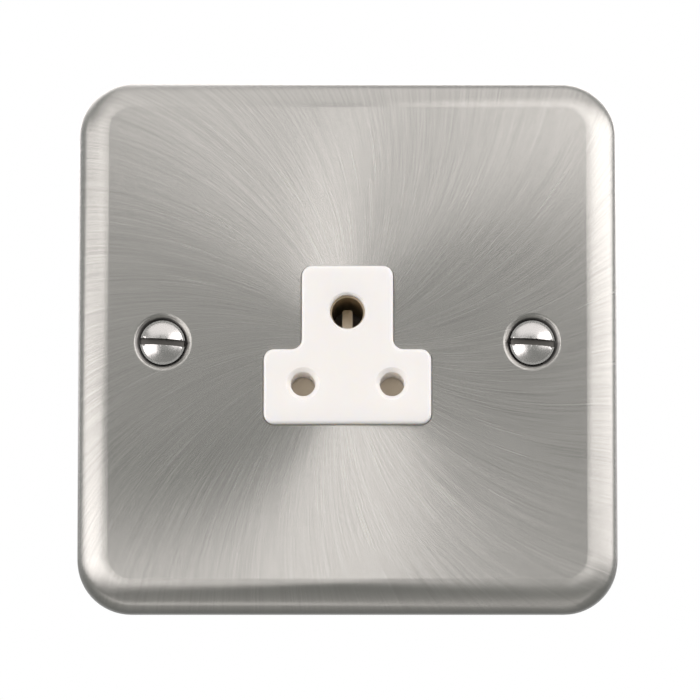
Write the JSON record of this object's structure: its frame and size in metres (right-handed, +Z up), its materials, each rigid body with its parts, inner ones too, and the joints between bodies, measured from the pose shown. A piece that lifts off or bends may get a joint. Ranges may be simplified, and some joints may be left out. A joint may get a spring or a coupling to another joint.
{
  "type": "round pin wall socket",
  "caption": "Square brushed metal wall plate with a T-shaped white shuttered socket for a small round pin plug, wired from behind and held by slotted screws.",
  "frame": {"origin": "midway between the two fixing screws, on the wall plane", "axes": "+X to the right seen from the front, +Y into the wall, +Z up"},
  "size_m": [0.088, 0.0276, 0.088],
  "materials": {
    "satin_chrome": "satin, brushed in curved radial strokes",
    "bright_chrome": "bright plated",
    "white_moulding": "white thermoset, semi gloss",
    "housing_moulding": "off-white, fine spark-eroded texture",
    "shutter_moulding": "tan, as moulded",
    "contact_brass": "rolled brass strip",
    "terminal_brass": "drawn and sawn brass bar",
    "plated_steel": "zinc plated",
    "spring_steel": "drawn wire",
    "tinned_strap": "tinned brass strip"
  },
  "bodies": {
    "socket": {"front_plate": "satin_chrome", "plate_studs": "plated_steel", "push_nuts": "spring_steel", "socket_front": "white_moulding", "rear_housing": "housing_moulding", "shutter_spring": "spring_steel", "line_contact": "contact_brass", "neutral_contact": "contact_brass", "earth_contact": "contact_brass", "line_terminal": "terminal_brass", "neutral_terminal": "terminal_brass", "earth_terminal": "terminal_brass", "line_terminal_screw": "plated_steel", "neutral_terminal_screw": "plated_steel", "earth_terminal_screw": "plated_steel", "earth_strap": "tinned_strap", "earth_strap_rivet": "terminal_brass", "housing_screws": "plated_steel", "fixing_screw_left": "bright_chrome", "fixing_screw_right": "bright_chrome"},
    "shutter": {"shutter": "shutter_moulding"}
  },
  "joints": [
    {"name": "shutter_slide", "type": "slide", "parent": "socket", "child": "shutter", "axis": [0, 0, -1], "range_m": [0, 0.0044], "stiffness_N_per_m": 100, "springref_m": -0.006, "deforming": ["shutter_spring"]}
  ]
}
